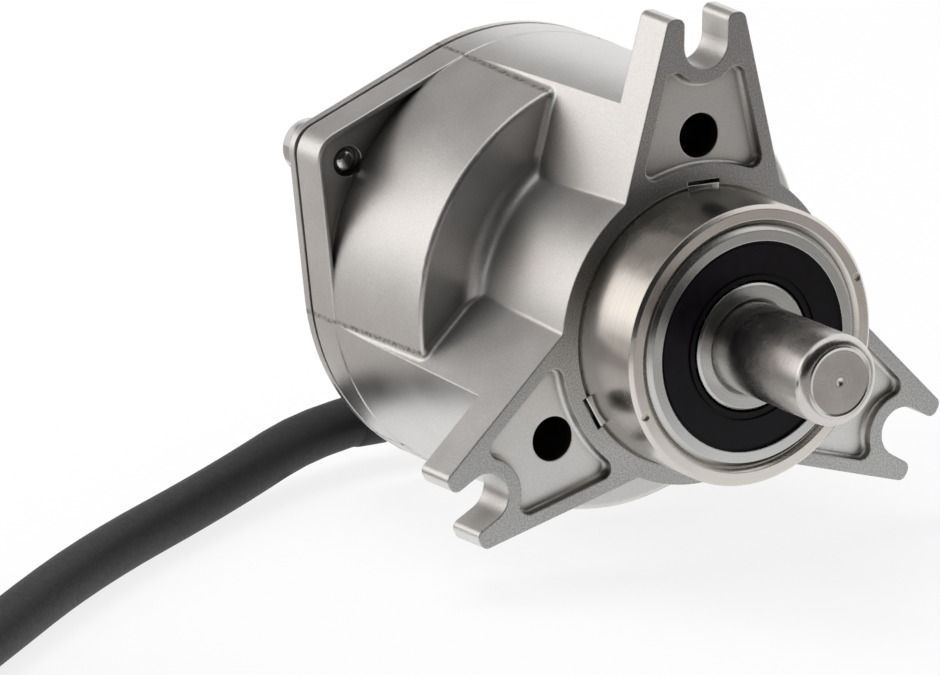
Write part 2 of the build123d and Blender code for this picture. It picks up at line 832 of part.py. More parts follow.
with BuildPart() as gland_nut:
    with BuildSketch(Plane.YZ.offset(hex_end_x)):
        with Locations((gland_y, gland_z)):
            Circle(gland_nut_radius)
    extrude(amount=-gland_nut_length)
    fillet(gland_nut.edges().group_by(Axis.X)[0], gland_nut_rounding)
    with BuildSketch(Plane.YZ.offset(hex_end_x)):
        with Locations((gland_y, gland_z)):
            Circle(gland_seal_radius)
    extrude(amount=-gland_nut_length, mode=Mode.SUBTRACT)
    with BuildSketch(Plane.YZ.offset(hex_end_x - gland_nut_length / 2)):
        with Locations((gland_y, gland_z)):
            with PolarLocations(gland_nut_radius, grip_count):
                Circle(gland_grip_radius)
    extrude(amount=gland_nut_length / 2 - gland_grip_end, mode=Mode.SUBTRACT)
save(gland_nut.part, "gland_nut")

with BuildPart() as gland_seal:
    with BuildSketch(Plane.YZ.offset(hex_end_x)):
        with Locations((gland_y, gland_z)):
            Circle(gland_seal_radius)
            Circle(cable_radius, mode=Mode.SUBTRACT)
    extrude(amount=-gland_nut_length)
save(gland_seal.part, "gland_seal")


def tube(points, radii, radius, name):
    """Round tube along straight runs joined by tangent arcs."""
    with BuildPart() as run:
        with BuildLine():
            route = FilletPolyline(*points, radius=radii)
        with BuildSketch(Plane(origin=route @ 0, z_dir=route % 0)):
            Circle(radius)
        sweep()
    section = pi * radius ** 2
    print(name, "volume", round(run.part.volume, 1), "expected", round(section * route.length, 1))
    return run.part


def route_radii(points):
    """Bend radius at each corner, from its shorter run and its turn."""
    radii = []
    for before, corner, after in zip(points, points[1:], points[2:]):
        run_in = Vector(*corner) - Vector(*before)
        run_out = Vector(*after) - Vector(*corner)
        turn = radians(run_in.get_angle(run_out))
        radii.append(0.45 * min(run_in.length, run_out.length) / tan(turn / 2))
    return radii


# Coil of the cable that is put away, one closed ring of its outer shape
coil_half_width = coil_columns * cable_radius
coil_height = coil_layers * 2 * cable_radius
with BuildPart() as cable_coil:
    with BuildSketch(Plane(origin=(coil_x, coil_y, table_z), x_dir=(1, 0, 0), z_dir=(0, -1, 0))):
        with Locations((coil_radius, coil_height / 2)):
            RectangleRounded(2 * coil_half_width, coil_height, coil_corner)
    revolve(axis=Axis((coil_x, coil_y, 0), (0, 0, 1)))
save(cable_coil.part, "cable_coil")

# Cable from inside the outlet to the coil, lying on the table
cable_route = [
    (outlet_left_x + outlet_wall + cable_inner_end, gland_y, gland_z),
    (-21.0, gland_y, gland_z),
    (-46.0, 46.2, table_cable_z),
    (-78.0, 25.0, table_cable_z),
    (-107.0, -0.5, table_cable_z),
    (-130.0, -20.0, table_cable_z),
]
cable_radii = route_radii(cable_route)
print("cable radii", [round(r, 1) for r in cable_radii])
with BuildPart() as cable:
    add(tube(cable_route, cable_radii, cable_radius, "cable"))
    add(cable_coil.part, mode=Mode.SUBTRACT)
save(cable.part, "cable")

# Tail of the cable from the coil to its plug
tail_x = coil_x - coil_radius
tail_route = [
    (tail_x, coil_y, table_cable_z),
    (tail_x, coil_y + tail_run, table_cable_z),
    (tail_x, coil_y + tail_rise, plug_axis_z),
    (tail_x, plug_start_y, plug_axis_z),
]
tail_radii = route_radii(tail_route)
print("tail radii", [round(r, 1) for r in tail_radii])
with BuildPart() as cable_tail:
    add(tube(tail_route, tail_radii, cable_radius, "tail"))
    add(cable_coil.part, mode=Mode.SUBTRACT)
save(cable_tail.part, "cable_tail")

# Leads from the cable's inner end to the board
lead_end_y = board_back_y + header_height + plug_height
lead_route = [
    (outlet_left_x + outlet_wall + cable_inner_end, gland_y, gland_z),
    (lead_x, gland_y, gland_z),
    (lead_x, gland_y - lead_drop, lead_z),
    (lead_x, lead_end_y, lead_z),
]
with BuildPart() as inner_leads:
    add(tube(lead_route, lead_bends, lead_radius, "leads"))
save(inner_leads.part, "inner_leads")


def plug_plane(y):
    """Sketch plane across the cable plug at depth y."""
    return Plane(origin=(tail_x, y, plug_axis_z), x_dir=(1, 0, 0), z_dir=(0, -1, 0))


def plug_turned(points):
    """Solid turned about the plug's axis from (radius, y) points."""
    with BuildPart() as body:
        with BuildSketch(Plane(origin=(tail_x, 0, plug_axis_z), z_dir=(0, 0, 1))):
            with BuildLine():
                Polyline(*points, close=True)
            make_face()
        revolve(axis=Axis((tail_x, 0, plug_axis_z), (0, 1, 0)))
    return body.part


# Round plug on the cable's far end
boot_end_y = plug_start_y + plug_boot_length
body_end_y = boot_end_y + plug_body_length
ring_end_y = body_end_y + plug_ring_length
with BuildPart() as plug_body:
    add(plug_turned([
        (0, plug_start_y),
        (cable_radius + plug_boot_play, plug_start_y),
        (plug_body_radius - plug_shoulder, boot_end_y),
        (plug_body_radius, boot_end_y + plug_shoulder),
        (plug_body_radius, body_end_y - plug_edge),
        (plug_body_radius - plug_edge, body_end_y),
        (plug_nose_radius, body_end_y),
        (plug_nose_radius, ring_end_y - plug_nose_setback),
        (pin_field_radius, ring_end_y - plug_nose_setback),
        (pin_field_radius, body_end_y),
        (0, body_end_y),
    ]))
    with BuildSketch(plug_plane(boot_end_y + plug_grip_margin)):
        with PolarLocations(plug_body_radius, grip_count):
            Circle(plug_grip_radius)
    extrude(amount=-(plug_body_length - 2 * plug_grip_margin), mode=Mode.SUBTRACT)
save(plug_body.part, "plug_body")

with BuildPart() as plug_ring:
    add(plug_turned([
        (plug_nose_radius + plug_ring_play, body_end_y + plug_ring_play),
        (plug_ring_radius - plug_edge, body_end_y + plug_ring_play),
        (plug_ring_radius, body_end_y + plug_ring_play + plug_edge),
        (plug_ring_radius, ring_end_y - plug_edge),
        (plug_ring_radius - plug_edge, ring_end_y),
        (plug_nose_radius + plug_ring_play, ring_end_y),
    ]))
    with BuildSketch(plug_plane(body_end_y + ring_grip_margin)):
        with PolarLocations(plug_ring_radius, 2 * grip_count):
            Circle(ring_grip_radius)
    extrude(amount=-(plug_ring_length - 2 * ring_grip_margin), mode=Mode.SUBTRACT)
save(plug_ring.part, "plug_ring")

with BuildPart() as plug_insert:
    with BuildSketch(plug_plane(body_end_y)):
        Circle(pin_field_radius)
    extrude(amount=-insert_depth)
save(plug_insert.part, "plug_insert")

with BuildPart() as plug_pins:
    with BuildSketch(plug_plane(body_end_y + insert_depth)):
        with PolarLocations(pin_circle_radius, pin_count - 1):
            Circle(pin_radius)
        Circle(pin_radius)
    extrude(amount=-pin_length)
save(plug_pins.part, "plug_pins")
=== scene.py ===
import bpy
import bmesh
import math
from mathutils import Matrix, Vector


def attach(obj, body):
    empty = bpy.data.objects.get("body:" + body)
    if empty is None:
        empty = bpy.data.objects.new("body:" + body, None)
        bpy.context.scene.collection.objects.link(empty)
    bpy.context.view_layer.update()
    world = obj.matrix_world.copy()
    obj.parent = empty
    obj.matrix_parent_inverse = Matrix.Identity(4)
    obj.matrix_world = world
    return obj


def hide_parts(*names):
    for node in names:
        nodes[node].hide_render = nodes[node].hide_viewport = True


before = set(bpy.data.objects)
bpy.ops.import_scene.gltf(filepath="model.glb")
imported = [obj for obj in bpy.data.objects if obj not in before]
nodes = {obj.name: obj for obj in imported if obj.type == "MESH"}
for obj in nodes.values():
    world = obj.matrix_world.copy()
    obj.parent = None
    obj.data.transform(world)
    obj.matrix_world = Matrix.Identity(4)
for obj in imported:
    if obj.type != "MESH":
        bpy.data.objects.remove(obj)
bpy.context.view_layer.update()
scene = bpy.context.scene
print("frame loaded,", len(nodes), "nodes")

# The camera stands far back with a long lens, turned to the shaft end and a little above it.
viewpoint = {
    "place": (-0.4844, -0.7277, 0.2312),
    # the picture's own directions
    "right": (0.8524, -0.5229, 0.0100),
    "down": (-0.1265, -0.2248, -0.9661),
    "ahead": (0.5074, 0.8222, -0.2578),
    "lens": 265.6,
    "sensor": 36.0,
    "clip": (0.05, 20.0),
}


def placeCamera():
    lensData = bpy.data.cameras.new("camera")
    lensData.lens = viewpoint["lens"]
    lensData.sensor_width = viewpoint["sensor"]
    lensData.clip_start, lensData.clip_end = viewpoint["clip"]
    camera = bpy.data.objects.new("camera", lensData)
    scene.collection.objects.link(camera)
    right = Vector(viewpoint["right"])
    up = -Vector(viewpoint["down"])
    back = -Vector(viewpoint["ahead"])
    turn = Matrix((right, up, back)).transposed()
    camera.matrix_world = Matrix.Translation(viewpoint["place"]) @ turn.to_4x4()
    scene.camera = camera


placeCamera()
print("camera placed")


# The cable: a 7 mm lead that leaves the gland, lies down into a neat coil and ends in a plug.
lead = {
    "diameter": 0.007,
    "length": 1.3,
    "exit": (-0.010, 0.060, -0.0244),
    "route": [
        (-0.004, 0.060, -0.0244),
        (-0.021, 0.060, -0.0244),
        (-0.046, 0.0462, -0.0275),
        (-0.078, 0.025, -0.0275),
        (-0.107, -0.0005, -0.0275),
        (-0.130, -0.020, -0.0275),
    ],
    "coilMiddle": (-0.154, 0.0095),
    "startAngle": -50.9,
    "turns": 4.33,
    "pointsPerTurn": 16,
    # turn counted from the start, radius and height of the winding there
    "winding": [
        (0.06, 0.0350, -0.0275), (0.75, 0.0350, -0.0275),
        (0.95, 0.0350, -0.0205), (1.75, 0.0350, -0.0205),
        (1.95, 0.0350, -0.0135), (2.25, 0.0350, -0.0135),
        (2.45, 0.0420, -0.0135), (3.05, 0.0420, -0.0135),
        (3.25, 0.0420, -0.0205), (4.05, 0.0420, -0.0205),
        (4.25, 0.0420, -0.0275), (4.40, 0.0420, -0.0275),
    ],
    "tail": [
        (-0.1945, 0.0345, -0.0275),
        (-0.1925, 0.0495, -0.0230),
        (-0.1925, 0.0620, -0.0230),
    ],
    "stepsBetweenPoints": 6,
    "roundness": 10,
}


def windingPlace(turn):
    stations = lead["winding"]
    for (start, radiusA, heightA), (end, radiusB, heightB) in zip(stations, stations[1:]):
        if turn <= end:
            share = max(0.0, (turn - start) / (end - start))
            return radiusA + share * (radiusB - radiusA), heightA + share * (heightB - heightA)
    return stations[-1][1], stations[-1][2]


def leadPoints():
    points = list(lead["route"])
    perTurn = lead["pointsPerTurn"]
    pull = 1.0 / math.cos(math.pi / perTurn)  # the spline runs inside its points
    middleX, middleY = lead["coilMiddle"]
    for step in range(1, int(lead["turns"] * perTurn) + 1):
        turn = step / perTurn
        radius, height = windingPlace(turn)
        angle = math.radians(lead["startAngle"]) - 2.0 * math.pi * turn
        points.append((middleX + pull * radius * math.cos(angle),
                       middleY + pull * radius * math.sin(angle), height))
    return points + lead["tail"]


def layLead():
    line = bpy.data.curves.new("leadJacket", "CURVE")
    line.dimensions = "3D"
    spline = line.splines.new("NURBS")
    points = leadPoints()
    spline.points.add(len(points) - 1)
    for target, place in zip(spline.points, points):
        target.co = (*place, 1.0)
        target.radius = lead["diameter"] / 2.0
    spline.order_u = 3
    spline.use_endpoint_u = True
    spline.resolution_u = lead["stepsBetweenPoints"]
    line.bevel_depth = 1.0  # times each point's radius
    line.bevel_resolution = lead["roundness"]
    line.use_fill_caps = True
    piece = bpy.data.objects.new("leadJacket", line)
    scene.collection.objects.link(piece)
    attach(piece, "body")
    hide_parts("cable", "cable_coil", "cable_tail")
    return piece


# The lead's middle line, read from a copy of its curve without thickness.
def leadLine(piece):
    bare = bpy.data.objects.new("bareLine", piece.data.copy())
    bare.data.bevel_depth = 0.0
    scene.collection.objects.link(bare)
    bpy.context.view_layer.update()
    mesh = bpy.data.meshes.new_from_object(bare)
    line = [vertex.co.copy() for vertex in mesh.vertices]
    bpy.data.objects.remove(bare)
    bpy.data.meshes.remove(mesh)
    return line


def placeAlong(line, distance):
    for start, end in zip(line, line[1:]):
        step = end - start
        if distance <= step.length:
            return start + step.normalized() * distance, step.normalized()
        distance -= step.length
    return line[-1], (line[-1] - line[-2]).normalized()


def meshPiece(name, bm):
    bmesh.ops.recalc_face_normals(bm, faces=bm.faces)
    if bm.calc_volume(signed=True) < 0.0:
        bmesh.ops.reverse_faces(bm, faces=bm.faces)
    mesh = bpy.data.meshes.new(name)
    bm.to_mesh(mesh)
    bm.free()
    for face in mesh.polygons:
        face.use_smooth = True
    piece = bpy.data.objects.new(name, mesh)
    scene.collection.objects.link(piece)
    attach(piece, "body")
    return piece


# A short tapered rubber sleeve takes the bend of the lead behind the gland nut.
bendSleeve = {
    # distance from the lead's start, radius
    "outside": [(0.0090, 0.00385), (0.0094, 0.00402), (0.0115, 0.00392), (0.0136, 0.00374),
                (0.0143, 0.00360), (0.0145, 0.00343)],
    "bore": 0.0032,
    "sides": 32,
}


def ringAt(bm, line, distance, radius):
    place, ahead = placeAlong(line, distance)
    turn = ahead.to_track_quat("Z", "Y").to_matrix().to_4x4()
    made = bmesh.ops.create_circle(bm, segments=bendSleeve["sides"], radius=radius,
                                   matrix=Matrix.Translation(place) @ turn)
    ring = set(made["verts"])
    return [edge for edge in bm.edges if edge.verts[0] in ring and edge.verts[1] in ring]


def buildBendSleeve(line):
    outside = bendSleeve["outside"]
    inside = [(distance, bendSleeve["bore"]) for distance in (outside[-1][0], outside[0][0])]
    bm = bmesh.new()
    rings = [ringAt(bm, line, distance, radius) for distance, radius in outside + inside]
    for first, second in zip(rings, rings[1:] + rings[:1]):
        bmesh.ops.bridge_loops(bm, edges=first + second)
    piece = meshPiece("bendSleeve", bm)
    return piece


leadPiece = layLead()
sleevePiece = buildBendSleeve(leadLine(leadPiece))
print("lead laid,", len(leadPoints()), "points")


# The two cover screws: cylinder heads with a hexagon socket, and domed ends in their holes.
coverScrew = {
    "places": [(-0.028232, 0.0163), (0.028232, -0.0163)],
    # radius, y, from the domed end to the rim of the head
    "profile": [(0.0, 0.04318), (0.0007, 0.04325), (0.0012, 0.04345), (0.0015, 0.0438),
                (0.0016, 0.0442), (0.00195, 0.0444), (0.00195, 0.0500), (0.00365, 0.0500),
                (0.0038, 0.05015), (0.0038, 0.0534), (0.00372, 0.0537), (0.0035, 0.05392),
                (0.0032, 0.0540)],
    "socketInset": 0.0012,
    "socketFlats": 0.0030,
    "socketDepth": 0.0020,
    "steps": 36,
    "reach": 0.005,  # wider than a head, nearer than the screws' places
    "sharpFrom": 35.0,
}


# A screw is made on the shaft axis, so what lies near the axis is the new one.
def newScrewVertices(bm):
    reach = coverScrew["reach"]
    return [vertex for vertex in bm.verts if abs(vertex.co.x) < reach and abs(vertex.co.z) < reach]


def sinkSocket(bm, top):
    bmesh.ops.inset_individual(bm, faces=[top], thickness=coverScrew["socketInset"],
                               use_even_offset=True)
    headEnd = coverScrew["profile"][-1][1]
    for vertex in top.verts:
        angle = math.degrees(math.atan2(vertex.co.z, vertex.co.x)) % 60.0
        radius = coverScrew["socketFlats"] / 2.0 / math.cos(math.radians(angle - 30.0))
        vertex.co = Vector((vertex.co.x, 0.0, vertex.co.z)).normalized() * radius
        vertex.co.y = headEnd
    bottom = bmesh.ops.extrude_discrete_faces(bm, faces=[top])["faces"][0]
    bmesh.ops.translate(bm, verts=bottom.verts, vec=(0.0, -coverScrew["socketDepth"], 0.0))


def buildCoverScrews():
    bm = bmesh.new()
    for middleX, middleZ in coverScrew["places"]:
        line = [bm.verts.new((radius, y, 0.0)) for radius, y in coverScrew["profile"]]
        edges = [bm.edges.new(pair) for pair in zip(line, line[1:])]
        bmesh.ops.spin(bm, geom=line + edges, cent=(0.0, 0.0, 0.0), axis=(0.0, 1.0, 0.0),
                       dvec=(0.0, 0.0, 0.0), angle=2.0 * math.pi, steps=coverScrew["steps"],
                       use_merge=True, use_duplicate=False)
        bmesh.ops.remove_doubles(bm, verts=newScrewVertices(bm), dist=0.00001)
        fresh = newScrewVertices(bm)
        rim = [edge for edge in bm.edges if edge.is_boundary and edge.verts[0] in fresh]
        top = bmesh.ops.contextual_create(bm, geom=rim)["faces"][0]
        sinkSocket(bm, top)
        bmesh.ops.translate(bm, verts=newScrewVertices(bm), vec=(middleX, 0.0, middleZ))
    piece = meshPiece("coverScrewPair", bm)
    piece.data.set_sharp_from_angle(angle=math.radians(coverScrew["sharpFrom"]))
    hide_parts("cover_screws")
    return piece


screwPiece = buildCoverScrews()
print("cover screws built")


earTurns = (0.0, 120.0, 240.0)  # degrees about the shaft axis

# Flat keys between the flange and the steel sleeve, one at each ear.
sleeveKey = {
    "length": 0.0049,
    "depth": 0.0020,
    "height": 0.00058,
    "radius": 0.01842,
    "proud": 0.00003,  # in front of the flange's face
    "edge": 0.00012,
}


def buildSleeveKeys():
    length, depth, height = sleeveKey["length"], sleeveKey["depth"], sleeveKey["height"]
    middle = (0.0, depth / 2.0 - sleeveKey["proud"], sleeveKey["radius"] + height / 2.0)
    bm = bmesh.new()
    for turn in earTurns:
        made = bmesh.ops.create_cube(bm, size=1.0)["verts"]
        bmesh.ops.scale(bm, verts=made, vec=(length, depth, height))
        bmesh.ops.translate(bm, verts=made, vec=middle)
        ownEdges = [edge for edge in bm.edges if edge.verts[0] in made]
        rounded = bmesh.ops.bevel(bm, geom=ownEdges, offset=sleeveKey["edge"], offset_type="OFFSET",
                                  affect="EDGES", segments=2, profile=0.5, material=-1)
        own = {vertex for face in rounded["faces"] for vertex in face.verts}
        bmesh.ops.rotate(bm, verts=list(own), cent=(0.0, 0.0, 0.0),
                         matrix=Matrix.Rotation(math.radians(turn), 3, "Y"))
    piece = meshPiece("sleeveKeyRow", bm)
    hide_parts("sleeve_keys")
    return piece


keyPiece = buildSleeveKeys()
print("sleeve keys built")


# Shader helpers shared by the finishes below.
def newFinish(name):
    material = bpy.data.materials.new(name)
    material.use_nodes = True
    tree = material.node_tree
    shader = tree.nodes["Principled BSDF"]
    where = tree.nodes.new("ShaderNodeTexCoord").outputs["Object"]
    return material, tree, shader, where


def grain(tree, where, scale, detail, rough=0.6):
    noise = tree.nodes.new("ShaderNodeTexNoise")
    noise.inputs["Scale"].default_value = scale
    noise.inputs["Detail"].default_value = detail
    noise.inputs["Roughness"].default_value = rough
    tree.links.new(where, noise.inputs["Vector"])
    return noise.outputs["Fac"]


def spread(tree, value, low, high, outLow, outHigh):
    remap = tree.nodes.new("ShaderNodeMapRange")
    remap.inputs["From Min"].default_value = low
    remap.inputs["From Max"].default_value = high
    remap.inputs["To Min"].default_value = outLow
    remap.inputs["To Max"].default_value = outHigh
    tree.links.new(value, remap.inputs["Value"])
    return remap.outputs["Result"]


# Noise keeps near its middle of 0.5, so this share of it is stretched to the whole range.
def spreadNoise(tree, noise, outLow, outHigh, share=0.4):
    return spread(tree, noise, 0.5 - share / 2.0, 0.5 + share / 2.0, outLow, outHigh)


def combine(tree, operation, first, second=0.0):
    node = tree.nodes.new("ShaderNodeMath")
    node.operation = operation
    for socket, value in zip(node.inputs, (first, second)):
        if isinstance(value, (int, float)):
            socket.default_value = value
        else:
            tree.links.new(value, socket)
    return node.outputs["Value"]


def blendColour(tree, amount, first, second):
    mix = tree.nodes.new("ShaderNodeMix")
    mix.data_type = "RGBA"
    tree.links.new(amount, mix.inputs["Factor"])
    for socket, value in ((mix.inputs["A"], first), (mix.inputs["B"], second)):
        if isinstance(value, tuple):
            socket.default_value = (*value, 1.0)
        else:
            tree.links.new(value, socket)
    return mix.outputs["Result"]


def addBump(tree, shader, height, distance):
    bump = tree.nodes.new("ShaderNodeBump")
    bump.inputs["Distance"].default_value = distance
    tree.links.new(height, bump.inputs["Height"])
    if shader.inputs["Normal"].is_linked:
        tree.links.new(shader.inputs["Normal"].links[0].from_socket, bump.inputs["Normal"])
    tree.links.new(bump.outputs["Normal"], shader.inputs["Normal"])


def softEdges(tree, shader, radius):
    rounding = tree.nodes.new("ShaderNodeBevel")
    rounding.samples = 6
    rounding.inputs["Radius"].default_value = radius
    tree.links.new(rounding.outputs["Normal"], shader.inputs["Normal"])


# Painted shade for hollows: 1 deep in a hollow of the piece itself, 0 in the open.
def paintedHollowShade(tree, reach, low, high):
    nearness = tree.nodes.new("ShaderNodeAmbientOcclusion")
    nearness.samples = 8
    nearness.only_local = True
    nearness.inputs["Distance"].default_value = reach
    return spread(tree, nearness.outputs["AO"], low, high, 1.0, 0.0)


def splitPlace(tree, where):
    parts = tree.nodes.new("ShaderNodeSeparateXYZ")
    tree.links.new(where, parts.inputs["Vector"])
    return parts.outputs["X"], parts.outputs["Y"], parts.outputs["Z"]


def radiusFromAxis(tree, x, z):
    square = combine(tree, "ADD", combine(tree, "MULTIPLY", x, x), combine(tree, "MULTIPLY", z, z))
    return combine(tree, "SQRT", square)


# The cast housing and cover: blasted skin, a machined flange face and shade painted into the hollows.
castLook = {
    "light": (0.82, 0.81, 0.795),
    "dark": (0.68, 0.665, 0.645),
    "roughness": (0.35, 0.42),
    "edge": 0.0003,
    "clouds": 90.0,  # patches a metre
    "cloudHeight": 0.000025,
    "cloudShare": 0.45,  # of the tone, the blasting has the rest
    "blast": 3600.0,  # grains a metre
    "blastHeight": 0.000022,
    "machined": (0.60, 0.60, 0.595),
    "machinedDark": (0.32, 0.315, 0.31),
    "machinedDepth": (0.00002, 0.00030),  # y where the face's finish fades out
    "pits": 4200.0,
    "pitRange": (0.36, 0.62),
    # painted shade in the hollows and creases: its colour, how far round a point the piece is looked
    # for, and the open share that gives full to no shade
    "paintedShadeColour": (0.25, 0.235, 0.22),
    "paintedShadeReach": 0.0075,
    "paintedShadeRange": (0.40, 0.80),
}

# Dotted lines that the casting mould left along both sides of each leg.
flashLook = {
    "colour": (0.22, 0.21, 0.20),
    "across": 0.0106,  # from the middle of the leg
    "width": (0.00015, 0.00045),
    "inner": (0.0215, 0.0220),
    "front": (0.0212, 0.0215),
    "dots": 1500.0,
    "dotRange": (0.46, 0.60),
    "dotDepth": (0.30, 0.85),
}


def flashLines(tree, where):
    x, y, z = splitPlace(tree, where)
    lines = None
    for turn in earTurns:
        cosTurn, sinTurn = math.cos(math.radians(turn)), math.sin(math.radians(turn))
        across = combine(tree, "ADD", combine(tree, "MULTIPLY", x, cosTurn),
                         combine(tree, "MULTIPLY", z, sinTurn))
        out = combine(tree, "ADD", combine(tree, "MULTIPLY", x, -sinTurn),
                      combine(tree, "MULTIPLY", z, cosTurn))
        fromLine = combine(tree, "SUBTRACT", combine(tree, "ABSOLUTE", across), flashLook["across"])
        thin = spread(tree, combine(tree, "ABSOLUTE", fromLine), *flashLook["width"], 1.0, 0.0)
        line = combine(tree, "MULTIPLY", thin, spread(tree, out, *flashLook["inner"], 0.0, 1.0))
        lines = line if lines is None else combine(tree, "MAXIMUM", lines, line)
    behindFront = spread(tree, y, *flashLook["front"], 0.0, 1.0)
    dots = spread(tree, grain(tree, where, flashLook["dots"], 1.0, 0.55),
                  *flashLook["dotRange"], *flashLook["dotDepth"])
    return combine(tree, "MULTIPLY", combine(tree, "MULTIPLY", lines, behindFront), dots)


def castAlloy(name, machinedFace):
    material, tree, shader, where = newFinish(name)
    shader.inputs["Metallic"].default_value = 1.0
    clouds = grain(tree, where, castLook["clouds"], 5.0)
    blast = grain(tree, where, castLook["blast"], 2.0)
    mottle = combine(tree, "ADD",
                     spreadNoise(tree, clouds, 0.0, castLook["cloudShare"], 0.3),
                     spreadNoise(tree, blast, 0.0, 1.0 - castLook["cloudShare"], 0.3))
    skin = blendColour(tree, mottle, castLook["dark"], castLook["light"])
    skin = blendColour(tree, flashLines(tree, where), skin, flashLook["colour"])
    if machinedFace:
        y = splitPlace(tree, where)[1]
        onFace = spread(tree, y, *castLook["machinedDepth"], 1.0, 0.0)
        pits = spread(tree, grain(tree, where, castLook["pits"], 3.0, 0.75),
                      *castLook["pitRange"], 0.0, 1.0)
        faceTone = blendColour(tree, pits, castLook["machinedDark"], castLook["machined"])
        skin = blendColour(tree, onFace, skin, faceTone)
    # shade painted into the skin's colour where the piece closes round a point, in hollows and along
    # creases
    paintedShadeShare = paintedHollowShade(tree, castLook["paintedShadeReach"], *castLook["paintedShadeRange"])
    skin = blendColour(tree, paintedShadeShare, skin, castLook["paintedShadeColour"])
    tree.links.new(skin, shader.inputs["Base Color"])
    tree.links.new(spreadNoise(tree, clouds, *castLook["roughness"]), shader.inputs["Roughness"])
    softEdges(tree, shader, castLook["edge"])
    addBump(tree, shader, blast, castLook["blastHeight"])
    addBump(tree, shader, clouds, castLook["cloudHeight"])
    return material


# Turned metal: fine rings about the shaft axis, and smudges.
turnedLook = {"rings": 3600.0, "smudges": 160.0, "edge": 0.00018}

# The raised ring that facing left round the middle of the shaft's end.
shaftEndRing = {"radius": 0.0045, "width": 0.00032, "height": 0.00014, "y": (-0.0318, -0.0316)}

turnedLooks = {
    "sleeve": {"name": "sleeveSteel", "light": (0.76, 0.73, 0.68), "dark": (0.64, 0.60, 0.55),
               "roughness": (0.20, 0.30), "ringHeight": 0.0000015, "smudge": 0.5},
    "rings": {"name": "bearingSteel", "light": (0.63, 0.64, 0.63), "dark": (0.54, 0.54, 0.53),
              "roughness": (0.22, 0.30), "ringHeight": 0.0000012, "smudge": 0.3},
    "shaft": {"name": "shaftSteel", "light": (0.76, 0.74, 0.72), "dark": (0.56, 0.54, 0.52),
              "roughness": (0.20, 0.32), "ringHeight": 0.0000022, "smudge": 0.7,
              "endRing": shaftEndRing},
    "zinc": {"name": "screwZinc", "light": (0.70, 0.70, 0.70), "dark": (0.50, 0.50, 0.50),
             "roughness": (0.12, 0.22), "ringHeight": 0.0000010, "smudge": 0.6},
    "nickel": {"name": "glandNickel", "light": (0.66, 0.63, 0.57), "dark": (0.54, 0.51, 0.46),
               "roughness": (0.22, 0.32), "ringHeight": 0.0000015, "smudge": 0.6},
    "brass": {"name": "pinBrass", "light": (0.80, 0.62, 0.30), "dark": (0.66, 0.50, 0.22),
              "roughness": (0.18, 0.26), "ringHeight": 0.0000010, "smudge": 0.6},
}


def turnedMetal(name, light, dark, roughness, ringHeight, smudge, endRing=None):
    material, tree, shader, where = newFinish(name)
    shader.inputs["Metallic"].default_value = 1.0
    x, y, z = splitPlace(tree, where)
    radius = radiusFromAxis(tree, x, z)
    rings = tree.nodes.new("ShaderNodeTexNoise")
    rings.noise_dimensions = "1D"
    rings.inputs["Scale"].default_value = turnedLook["rings"]
    rings.inputs["Detail"].default_value = 3.0
    tree.links.new(combine(tree, "ADD", y, radius), rings.inputs["W"])
    smudges = grain(tree, where, turnedLook["smudges"], 5.0, 0.65)
    tone = combine(tree, "ADD", spreadNoise(tree, smudges, 0.0, smudge),
                   spreadNoise(tree, rings.outputs["Fac"], 0.0, 1.0 - smudge))
    tree.links.new(blendColour(tree, tone, dark, light), shader.inputs["Base Color"])
    tree.links.new(spreadNoise(tree, smudges, *roughness), shader.inputs["Roughness"])
    softEdges(tree, shader, turnedLook["edge"])
    addBump(tree, shader, rings.outputs["Fac"], ringHeight)
    if endRing:
        off = combine(tree, "ABSOLUTE", combine(tree, "SUBTRACT", radius, endRing["radius"]))
        ridge = combine(tree, "MULTIPLY", spread(tree, off, 0.0, endRing["width"], 1.0, 0.0),
                        spread(tree, y, *endRing["y"], 1.0, 0.0))
        addBump(tree, shader, ridge, endRing["height"])
    return material


# Rubber and plastic: one colour with a darker grain of the same hue.
mouldedLooks = {
    "seal": {"name": "sealRubber", "colour": (0.007, 0.005, 0.008), "shade": 0.6,
             "roughness": (0.30, 0.40), "grains": 700.0, "height": 0.00001, "gloss": 0.17},
    "jacket": {"name": "jacketRubber", "colour": (0.008, 0.006, 0.009), "shade": 0.6,
               "roughness": (0.50, 0.62), "grains": 1600.0, "height": 0.00002, "gloss": 0.4},
    "gasket": {"name": "gasketRubber", "colour": (0.020, 0.020, 0.022), "shade": 0.6,
               "roughness": (0.55, 0.70), "grains": 1200.0, "height": 0.00002, "gloss": 0.4},
    "plastic": {"name": "blackPlastic", "colour": (0.035, 0.035, 0.038), "roughness": (0.42, 0.52)},
    "board": {"name": "boardLacquer", "colour": (0.030, 0.16, 0.07), "roughness": (0.25, 0.35)},
    "disc": {"name": "discFilm", "colour": (0.10, 0.085, 0.07), "roughness": (0.10, 0.18)},
    "grey": {"name": "leadGrey", "colour": (0.30, 0.30, 0.32), "roughness": (0.40, 0.50)},
    "cage": {"name": "cagePlastic", "colour": (0.42, 0.33, 0.18), "roughness": (0.45, 0.55)},
}


def moulded(name, colour, roughness, shade=0.8, grains=900.0, height=0.00001, gloss=0.5):
    material, tree, shader, where = newFinish(name)
    shader.inputs["Specular IOR Level"].default_value = gloss
    clouds = grain(tree, where, grains, 3.0)
    shaded = tuple(part * shade for part in colour)
    tree.links.new(blendColour(tree, spreadNoise(tree, clouds, 0.0, 1.0), shaded, colour),
                   shader.inputs["Base Color"])
    tree.links.new(spreadNoise(tree, clouds, *roughness), shader.inputs["Roughness"])
    addBump(tree, shader, clouds, height)
    return material


finishes = {
    "cast": castAlloy("castAlloy", machinedFace=True),
    "castCover": castAlloy("castCover", machinedFace=False),
}
for finishName, look in turnedLooks.items():
    finishes[finishName] = turnedMetal(**look)
for finishName, look in mouldedLooks.items():
    finishes[finishName] = moulded(**look)

